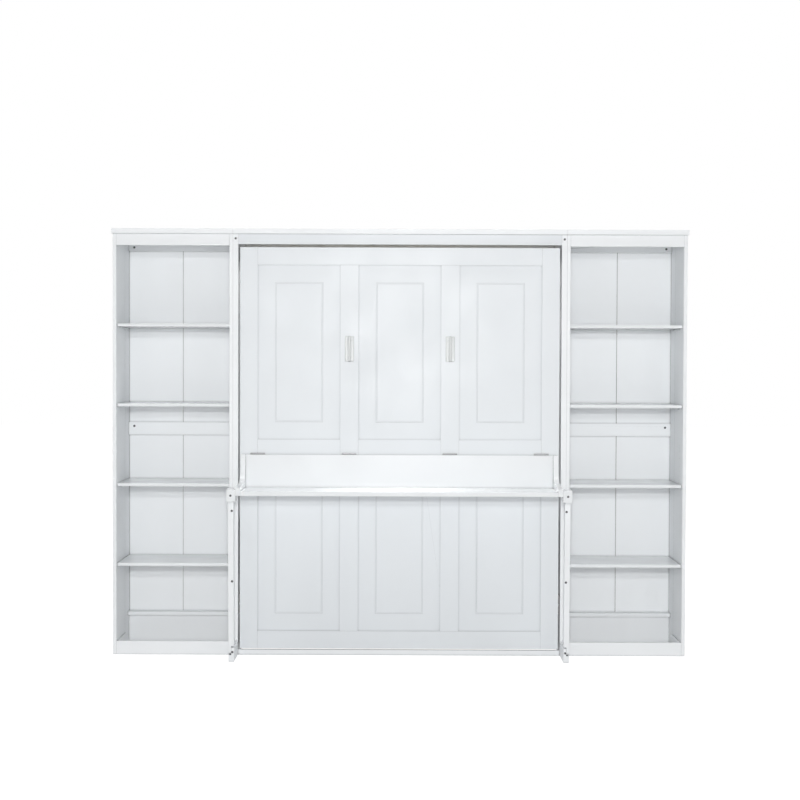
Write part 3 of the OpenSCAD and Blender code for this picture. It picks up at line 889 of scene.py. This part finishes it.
@dataclass(frozen=True)
class CrossScrew:
    """The head of a wood screw with a cross recess, facing up from the surface that it sits in."""

    radius: float
    rim: float = 0.15 * MM
    rim_share: float = 0.93
    sunk: float = 0.3 * MM
    recess: float = 1.1 * MM
    arm_share: float = 0.13
    reach_share: float = 0.58
    floor_share: float = 0.6
    count: int = 24

    def cross(self, share: float, z: float) -> list[Vector]:
        """Gives the outline of a cross, at a share of its full reach."""
        arm, reach = self.arm_share * self.radius, self.reach_share * self.radius * share
        quarter = ((reach, -arm, z), (reach, arm, z), (arm, arm, z))
        turns = [Matrix.Rotation(step * math.pi / 2, 3, "Z") for step in range(4)]
        return [turn @ Vector(point) for turn in turns for point in quarter]

    def shape(self) -> Shape:
        """Builds the head."""
        shape = bmesh.new()
        outside = ((1.0, -self.sunk), (1.0, self.rim / 2), (self.rim_share, self.rim))
        foot, _, top = skin(shape, [circle(self.radius * share, z, self.count) for share, z in outside])
        inside = ((1.0, self.rim), (self.floor_share, self.rim - self.recess))
        mouth, floor = skin(shape, [self.cross(share, z) for share, z in inside])
        rims = [shape.edges.get((loop[i - 1], loop[i])) for loop in (top, mouth) for i in range(len(loop))]
        bmesh.ops.triangle_fill(shape, use_beauty=True, edges=rims)
        shape.faces.new(foot)
        shape.faces.new(floor)
        bmesh.ops.recalc_face_normals(shape, faces=shape.faces)
        return shape


@dataclass(frozen=True)
class FlangedBolt:
    """The domed head of a front bolt with a six-sided socket, facing up from its board."""

    radius: float = 5.6 * MM
    flange: float = 0.9 * MM
    dome: float = 1.6 * MM
    socket_share: float = 0.42
    socket_depth: float = 1.2 * MM
    flange_curve: tuple[Span, ...] = ((1.0, -1.0), (1.0, 0.5), (0.93, 1.0), (0.72, 1.1))
    dome_curve: tuple[Span, ...] = ((0.62, 0.95), (0.54, 1.0), (0.42, 0.97))
    socket_curve: Span = (0.3, 1.0)
    count: int = 24
    sides: int = 6

    def shape(self) -> Shape:
        """Builds the head."""
        turned = [(share, self.flange * up) for share, up in self.flange_curve]
        turned += [(share, self.dome * up) for share, up in self.dome_curve]
        rings = [circle(self.radius * share, z, self.count) for share, z in turned]
        rings += [self.socket(self.dome - self.socket_depth * down) for down in self.socket_curve]
        return loft(rings)

    def socket(self, z: float) -> list[Point]:
        """Gives the outline of the socket, with as many points as the round rings have."""
        half = math.pi / self.sides
        flat = self.radius * self.socket_share * math.cos(half)
        points = []
        for i in range(self.count):
            turn = 2 * math.pi * i / self.count
            reach = flat / math.cos((turn % (2 * half)) - half)
            points.append((reach * math.cos(turn), reach * math.sin(turn), z))
        return points


def bolt_heads(shop: Workshop, node: str, name: str) -> None:
    """Puts a dark head on every front bolt among the solids of a node.

    Args:
        shop: the workshop.
        node: the node.
        name: name of the new piece.
    """
    bolts = [solid for solid in solids_of(node) if max(solid.size.x, solid.size.z) < BOLT_WIDEST]
    places = [Lattice((bolt.middle.x, bolt.low.y, bolt.middle.z)) for bolt in bolts]
    head = facing(FlangedBolt().shape(), (0.0, -1.0, 0.0))
    shop.attach(repeat(head, places, name), BODY_OF[node], "dark_steel")


def plate_screws(shop: Workshop, node: str, name: str, outwards: int) -> None:
    """Puts a screw in each corner of the steel plates of a node.

    Args:
        shop: the workshop.
        node: the node, whose solids are plates with a pin or stud on one face.
        name: name of the new piece.
        outwards: 1 where the plates face away from the middle of the bed, -1 where they face it.
    """
    plate_t, inset, screw_r = 3.0 * MM, 11.0 * MM, 3.6 * MM
    piles = []
    for side in Side:
        lattices = []
        for plate in (solid for solid in solids_of(node) if solid.middle.x * side.value > 0):
            near, far = sorted((plate.low.x, plate.high.x), key=abs)
            face = near + side.value * plate_t if outwards > 0 else far - side.value * plate_t
            start = (face, plate.low.y + inset, plate.low.z + inset)
            pitch = (0.0, plate.size.y - 2 * inset, plate.size.z - 2 * inset)
            lattices.append(Lattice(start, (1, 2, 2), pitch))
        head = facing(CrossScrew(screw_r).shape(), (float(side.value * outwards), 0.0, 0.0))
        piles.append(repeat(head, lattices, f"{name}_{side.word}"))
    shop.attach(join(piles, name), BODY_OF[node], "bright_steel")


# ---- sub-assemblies


@dataclass
class Bookcase:
    """One open bookcase beside the bed."""

    side: Side
    board_ease: float = 1.5 * MM
    panel_ease: float = 2.4 * MM
    pin_groove: float = 0.35 * MM
    groove_share: float = 0.12
    tip_share: float = 0.6
    pin_steps: int = 20
    wall_screw_r: float = 6.0 * MM
    shelves: int = 4
    boards: str = "outer_side inner_side top_board front_rails back_rails bottom_cleats"

    def build(self, shop: Workshop) -> None:
        """Eases the boards, sets the shelf pins and drives the wall screws."""
        for board in self.boards.split():
            shop.ease(f"{self.side.word}_{board}", self.board_ease)
        for number in range(1, self.shelves + 1):
            shop.ease(f"{self.side.word}_shelf_{number}", self.board_ease, shop.finishes.smooth_board)
        shop.ease(f"{self.side.word}_back_panels", self.panel_ease, shop.finishes.raw_edged)
        self.lay_pins(shop)
        self.drive_wall_screws(shop)

    def pin(self, length: float, radius: float) -> Shape:
        """Builds a shelf pin along X with a domed end and two grooves, centred on the origin."""
        half, groove = length / 2, self.pin_groove
        profile = [(0.0, -half), (radius - 2 * groove, -half), (radius, -half + 2 * groove)]
        for middle in (-self.groove_share * length, self.groove_share * length):
            profile += [
                (radius, middle - 2 * groove),
                (radius - groove, middle - groove),
                (radius - groove, middle + groove),
                (radius, middle + 2 * groove),
            ]
        profile += [(radius, half - 4 * groove), (radius - groove, half - 2 * groove)]
        profile += [(radius * self.tip_share, half - groove / 2), (0.0, half)]
        return lathe(profile, "X", self.pin_steps)

    def lay_pins(self, shop: Workshop) -> None:
        """Sets the four pins under each shelf."""
        node = f"{self.side.word}_shelf_pins"
        solids = solids_of(node)
        size = solids[0].size
        places = Lattice.through([solid.middle for solid in solids])
        shop.hand_over(repeat(self.pin(size.x, size.z / 2), [places], node + "_turned"), node)

    def drive_wall_screws(self, shop: Workshop) -> None:
        """Puts a dark head on each wall fixing hole of the back rails."""
        rails = f"{self.side.word}_back_rails"
        fixing = MOUNTS[f"{self.side.word}_bookcase_wall_fixing"]
        x, _, z = fixing["pos_m"]
        across, up = fixing["dims"]["spacing_x_mm"] * MM, fixing["dims"]["spacing_y_mm"] * MM
        top = z + up / 2
        front = next(solid.low.y for solid in solids_of(rails) if solid.low.z < top < solid.high.z)
        heads = Lattice((x - across / 2, front, z - up / 2), (2, 1, 2), (across, 0.0, up))
        head = facing(FlangedBolt(self.wall_screw_r).shape(), (0.0, -1.0, 0.0))
        screws = repeat(head, [heads], f"{self.side.word}_wall_screws")
        shop.attach(screws, BODY_OF[rails], "dark_steel")


@dataclass
class BedCabinet:
    """The cabinet that the bed folds into, with its feet."""

    ease: float = 1.5 * MM
    foot_ease: float = 0.8 * MM
    boards: str = "side_left side_right top_board plinth wall_rails"

    def build(self, shop: Workshop) -> None:
        """Eases the boards and dresses the pivots and bolts."""
        for board in self.boards.split():
            shop.ease(f"case_{board}", self.ease)
        for side in Side:
            shop.ease(f"foot_{side.word}", self.foot_ease)
        # the header takes the darker face paint, as painted shade on this front board
        shop.ease("case_header", self.ease, shop.finishes.by_slot["white_face"])
        # the pivot plates take the steel with painted shade, darker than their slot's bright steel
        shop.ease("case_pivots", PLATE_EASE, shop.finishes.hidden_steel)
        shop.ease("case_fasteners", BOLT_EASE)
        bolt_heads(shop, "case_fasteners", "case_bolt_heads")
        plate_screws(shop, "case_pivots", "case_plate_screws", -1)


@dataclass
class BedFace:
    """The panelled front of the bed."""

    ease: float = 1.2 * MM
    sheet_ease: float = 0.6 * MM

    def build(self, shop: Workshop) -> None:
        """Eases the strips and sheets of the face."""
        for strip in ("face_stiles", "face_rails", "face_mullions"):
            shop.ease(strip, self.ease)
        shop.ease("face_sheets", self.sheet_ease)


@dataclass
class BedFrame:
    """The frame behind the face that carries the mattress."""

    ease: float = 1.5 * MM
    slat_corner: float = 4.0 * MM
    slat_crown: float = 0.6 * MM
    screw_r: float = 4.0 * MM
    screw_spread: float = 20.0 * MM
    screw_from_end: float = 13.0 * MM

    def build(self, shop: Workshop) -> None:
        """Eases the frame, lays the slats and dresses the pivot plates."""
        for board in ("bed_rail_left", "bed_rail_right", "bed_end_rails"):
            shop.ease(board, self.ease)
        shop.ease("bed_ledgers", self.ease, shop.finishes.pine_upright)
        self.lay_slats(shop)
        shop.ease("bed_pivots", PLATE_EASE)
        shop.ease("bed_hinge_leaves", HINGE_EASE, shop.finishes.hinge_steel, "bright_steel")
        plate_screws(shop, "bed_pivots", "bed_plate_screws", 1)

    def lay_slats(self, shop: Workshop) -> None:
        """Lays the slats across the ledgers and screws both ends and the middle of each."""
        solids = solids_of("bed_slats")
        size = solids[0].size
        bar = SoftBar(size.z, size.y - self.slat_crown, size.x, self.slat_corner, self.slat_crown)
        shape = bar.shape()
        shape.transform(Matrix.Rotation(math.pi, 4, "X") @ Matrix.Rotation(math.pi / 2, 4, "Y"))
        shape.transform(Matrix.Translation((0.0, -self.slat_crown / 2, 0.0)))
        places = Lattice.through([solid.middle for solid in solids])
        shop.hand_over(repeat(shape, [places], "bed_slats_planed"), "bed_slats")
        far = size.x / 2 - self.screw_from_end
        starts = [places.start[2] + spread for spread in (-self.screw_spread, self.screw_spread)]
        counts, pitch = (3, 1, len(solids)), (far, 0.0, places.pitch[2])
        rows = [Lattice((-far, solids[0].high.y, start), counts, pitch) for start in starts]
        head = facing(CrossScrew(self.screw_r).shape(), (0.0, 1.0, 0.0))
        shop.attach(repeat(head, rows, "bed_slat_screws"), BODY_OF["bed_slats"], "bright_steel")


@dataclass
class Handle:
    """A handle on one mullion of the face."""

    side: Side
    plate_t: float = 3.0 * MM
    plate_corner: float = 5.0 * MM
    plate_rim: float = 1.2 * MM
    rim_knee: float = 0.3
    field_in: float = 4.0 * MM
    field_up: float = 1.2 * MM
    field_slope: float = 0.4 * MM
    bar_w: float = 17.0 * MM
    bar_t: float = 8.0 * MM
    bar_corner: float = 2.4 * MM
    bar_crown: float = 2.6 * MM
    bar_end: float = 5.0 * MM
    post_pitch: float = 86.0 * MM
    post_r: float = 5.0 * MM
    post_in: float = 1.0 * MM
    post_steps: int = 28
    collar_r: float = 8.0 * MM
    collar_h: float = 2.0 * MM
    collar_ease: float = 1.0 * MM
    collar_in: float = 0.5 * MM
    waists: tuple[Span, ...] = ((0.15, 1.25), (0.3, 1.05), (0.5, 1.0), (0.7, 1.05), (0.85, 1.2), (1.0, 1.4))

    def build(self, shop: Workshop) -> None:
        """Builds the plate, the bar and the posts."""
        node = f"handle_{self.side.word}"
        whole = solids_of(node)[0]
        back, front = whole.high.y, whole.low.y
        middle = whole.middle
        reach = (back - self.plate_t) - (front + self.bar_t)
        half_pitch = self.post_pitch / 2
        parts = (
            (self.plate(whole.size.x, whole.size.z), back, 0.0),
            (self.bar(whole.size.z), front + self.bar_t / 2, 0.0),
            (self.post(reach), back - self.plate_t, -half_pitch),
            (self.post(reach), back - self.plate_t, half_pitch),
        )
        pieces = []
        for i, (part, y, up) in enumerate(parts):
            part.transform(Matrix.Translation((middle.x, y, middle.z + up)))
            pieces.append(piece_of(part, f"{node}_part_{i}"))
        shop.hand_over(join(pieces, node + "_crowned"), node)

    def plate(self, width: float, height: float) -> Shape:
        """Builds the back plate with its raised field, standing on y = 0 and facing -Y."""
        rim, level = self.plate_rim, self.plate_t - self.field_up
        stations = (
            (0.0, 0.0),
            (level - rim, 0.0),
            (level - rim * self.rim_knee, rim * self.rim_knee),
            (level, rim),
            (level, self.field_in - self.field_slope),
            (level + self.field_up, self.field_in + self.field_slope),
        )
        section = SoftBar(width, height, 0.0, self.plate_corner, face_steps=1, corner_steps=6)
        return loft([[(x, -depth, z) for x, z in section.outline(inset)] for depth, inset in stations])

    def bar(self, height: float) -> Shape:
        """Builds the crowned bar, centred on the origin."""
        return SoftBar(
            width=self.bar_w,
            depth=self.bar_t - self.bar_crown,
            length=height,
            corner=self.bar_corner,
            crown=self.bar_crown,
            end_ease=self.bar_end,
            face_steps=8,
            end_steps=5,
        ).shape()

    def post(self, reach: float) -> Shape:
        """Builds a waisted post from the plate to the bar, facing -Y."""
        profile = [
            (0.0, -self.collar_in),
            (self.collar_r, -self.collar_in),
            (self.collar_r, self.collar_h - self.collar_ease),
            (self.collar_r - self.collar_ease, self.collar_h),
        ]
        for share, waist in self.waists:
            profile.append((self.post_r * waist, self.collar_h + share * (reach - self.collar_h)))
        profile.append((0.0, reach + self.post_in))
        return lathe([(radius, -along) for radius, along in reversed(profile)], "Y", self.post_steps)


@dataclass
class Desk:
    """The desk that hangs from the bed's face, with its gussets and leg heads."""

    ease: float = 1.0 * MM
    boards: str = "desk_top desk_back gusset_left gusset_right leg_heads"

    def build(self, shop: Workshop) -> None:
        """Eases the boards and dresses the hinges and bolts."""
        for board in self.boards.split():
            shop.ease(board, self.ease, shop.finishes.smooth_board)
        shop.ease("desk_hinge_leaves", HINGE_EASE, shop.finishes.hinge_steel, "bright_steel")
        shop.ease("desk_fasteners", BOLT_EASE)
        bolt_heads(shop, "desk_fasteners", "desk_bolt_heads")


@dataclass
class FrontLeg:
    """A front leg that swings with the bed."""

    side: Side
    ease: float = 0.8 * MM

    def build(self, shop: Workshop) -> None:
        """Eases the leg and puts heads on its bolts."""
        node = f"leg_{self.side.word}"
        shop.ease(node, self.ease, only=1)
        bolt_heads(shop, node, node + "_bolt_heads")


@dataclass
class GasStrut:
    """A gas strut behind the bed's face."""

    side: Side
    cylinder_ease: float = 0.8 * MM
    rod_ease: float = 0.6 * MM
    gland_l: float = 16.0 * MM
    gland_over: float = 0.9 * MM
    gland_steps: int = 28
    groove_over: float = 0.1 * MM
    groove_shares: tuple[float, ...] = (0.3, 0.4, 0.5, 0.6)
    lip: float = 1.5 * MM
    lip_share: float = 0.4
    nut_l: float = 11.0 * MM
    nut_r: float = 9.0 * MM
    nut_up: float = 24.0 * MM
    nut_sides: int = 6

    def build(self, shop: Workshop) -> None:
        """Dresses the cylinder and the rod."""
        cylinder, rod = (f"strut_{part}_{self.side.word}" for part in ("cylinder", "rod"))
        shop.ease(cylinder, self.cylinder_ease)
        shop.ease(rod, self.rod_ease)
        tube, bar = solids_of(cylinder)[0], solids_of(rod)[0]
        gland = self.gland(tube.size.x / 2, bar.size.x / 2)
        gland.transform(Matrix.Translation((tube.middle.x, tube.middle.y, tube.low.z)))
        shop.attach(piece_of(gland, cylinder + "_gland"), BODY_OF[cylinder], "bright_steel")
        profile = [(0.0, 0.0), (self.nut_r, 0.0), (self.nut_r, self.nut_l), (0.0, self.nut_l)]
        nut = lathe(profile, "Z", self.nut_sides)
        nut.transform(Matrix.Translation((bar.middle.x, bar.middle.y, bar.low.z + self.nut_up)))
        rough = piece_of(nut, rod + "_nut_rough")
        add_eased_edges(rough, self.rod_ease)
        shop.attach(plain_mesh(rough, rod + "_nut"), BODY_OF[rod], "bright_steel")

    def gland(self, tube_r: float, rod_r: float) -> Shape:
        """Builds the rolled end of the tube round the rod, standing on z = 0."""
        outer = tube_r + self.gland_over
        hole = rod_r + self.lip / 2
        groove = tube_r + self.groove_over
        fall, floor, rise, level = (self.gland_l * share for share in self.groove_shares)
        profile = (
            (hole, -self.lip),
            (tube_r - self.lip, -self.lip),
            (outer - self.lip, -self.lip * self.lip_share),
            (outer, self.lip),
            (outer, fall),
            (groove, floor),
            (groove, rise),
            (outer, level),
            (outer, self.gland_l - self.lip),
            (tube_r + self.groove_over / 2, self.gland_l),
            (hole, self.gland_l / 2),
        )
        shape = bmesh.new()
        loops = skin(shape, [circle(radius, z, self.gland_steps) for radius, z in profile])
        bridge(shape, loops[-1], loops[0])
        bmesh.ops.recalc_face_normals(shape, faces=shape.faces)
        return shape


# ---- studio


@dataclass
class Studio:
    """Floor, light and camera of the picture."""

    focal_px: float = 1595.0
    image_px: float = 800.0
    eye: Point = (0.012, -8.325, 1.524)
    pitch_down: float = 1.34
    yaw: float = 0.07
    roll: float = 0.20
    sight_end: float = 100.0
    level_turn: float = 90.0
    floor_half: float = 30.0
    floor_tint: float = 0.75
    floor_roughness: float = 0.9
    floor_glow: float = 0.97
    floor_shadow: float = 0.30
    world_level: float = 0.13
    lit_point: Point = (0.0, 0.0, 1.1)
    lamps: tuple[tuple[str, Point, float, float, float], ...] = (
        ("key", (0.0, -8.7, 2.25), 0.3, 0.2, 155.0),
        ("near_camera", (0.0, -8.7, 1.4), 1.2, 0.6, 80.0),
        ("near_left", (-3.6, -8.0, 1.5), 1.6, 1.0, 22.0),
        ("near_right", (3.6, -8.0, 1.5), 1.6, 1.0, 22.0),
        ("side_left", (-6.5, -2.2, 2.0), 2.0, 1.5, 50.0),
        ("side_right", (6.5, -2.2, 2.0), 2.0, 1.5, 50.0),
        ("high", (0.0, -8.6, 2.95), 0.3, 0.2, 95.0),
        ("overhead", (0.0, -0.4, 5.5), 4.5, 1.2, 80.0),
        ("behind", (0.0, 7.0, 3.2), 6.0, 3.0, 120.0),
    )

    def build(self) -> None:
        """Sets up the whole studio."""
        self.add_floor()
        self.add_world()
        self.add_lights()
        self.add_camera()
        bpy.context.scene.view_settings.view_transform = "Standard"

    def add_floor(self) -> None:
        """Lays the pale floor, which the camera sees as white apart from the shadow."""
        recipe = Recipe("studio_floor")
        recipe.set(Base_Color=(*(self.floor_tint,) * 3, 1.0), Roughness=self.floor_roughness)
        glow = recipe.node("ShaderNodeEmission", Color=WHITE, Strength=self.floor_glow)
        softened = recipe.node("ShaderNodeBsdfDiffuse", Color=(*(self.floor_shadow,) * 3, 1.0))
        seen = recipe.node("ShaderNodeAddShader")
        recipe.link(glow.outputs[0], seen.inputs[0])
        recipe.link(softened.outputs[0], seen.inputs[1])
        recipe.show(recipe.shader.outputs[0], seen.outputs[0], recipe.tree.nodes["Material Output"])
        mesh = bpy.data.meshes.new("studio_floor")
        half = self.floor_half
        corners = [(-half, -half, 0), (half, -half, 0), (half, half, 0), (-half, half, 0)]
        mesh.from_pydata(corners, [], [(0, 1, 2, 3)])
        floor = object_of(mesh, "studio_floor")
        set_material(floor, recipe.material)

    def add_world(self) -> None:
        """Makes an even pale surround that the camera and reflections see as white."""
        world = bpy.data.worlds.new("studio")
        bpy.context.scene.world = world
        world.use_nodes = True
        graph = Graph(world.node_tree)
        graph.tree.nodes.clear()
        light = graph.node("ShaderNodeBackground", Color=WHITE, Strength=self.world_level)
        seen = graph.node("ShaderNodeBackground", Color=WHITE)
        graph.show(light.outputs[0], seen.outputs[0], graph.node("ShaderNodeOutputWorld"))

    def add_lights(self) -> None:
        """Hangs the lamps and turns each to the unit."""
        for name, where, width, height, power in self.lamps:
            light = bpy.data.lights.new(name, "AREA")
            light.shape = "RECTANGLE"
            light.size = width
            light.size_y = height
            light.energy = power
            lamp = object_of(light, name)
            lamp.location = where
            lamp.rotation_euler = (Vector(self.lit_point) - Vector(where)).to_track_quat("-Z", "Y").to_euler()

    def add_camera(self) -> None:
        """Puts the camera where the photo was taken."""
        data = bpy.data.cameras.new("camera")
        data.lens = self.focal_px / self.image_px * data.sensor_width
        data.clip_end = self.sight_end
        camera = object_of(data, "camera")
        upright = Matrix.Rotation(math.radians(self.level_turn - self.pitch_down), 3, "X")
        turned = Matrix.Rotation(math.radians(self.yaw), 3, "Z")
        rolled = Matrix.Rotation(math.radians(self.roll), 3, "Z")
        camera.rotation_euler = (turned @ upright @ rolled).to_euler()
        camera.location = self.eye
        bpy.context.scene.camera = camera


def main() -> None:
    """Builds the sub-assemblies in order, then the studio."""
    logging.basicConfig(level=logging.INFO, format="%(message)s")
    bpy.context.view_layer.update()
    shop = Workshop(Finishes())
    BedCabinet().build(shop)
    for side in Side:
        Bookcase(side).build(shop)
    BedFace().build(shop)
    BedFrame().build(shop)
    Desk().build(shop)
    for side in Side:
        Handle(side).build(shop)
        FrontLeg(side).build(shop)
        GasStrut(side).build(shop)
    Studio().build()


if __name__ == "__main__":
    main()
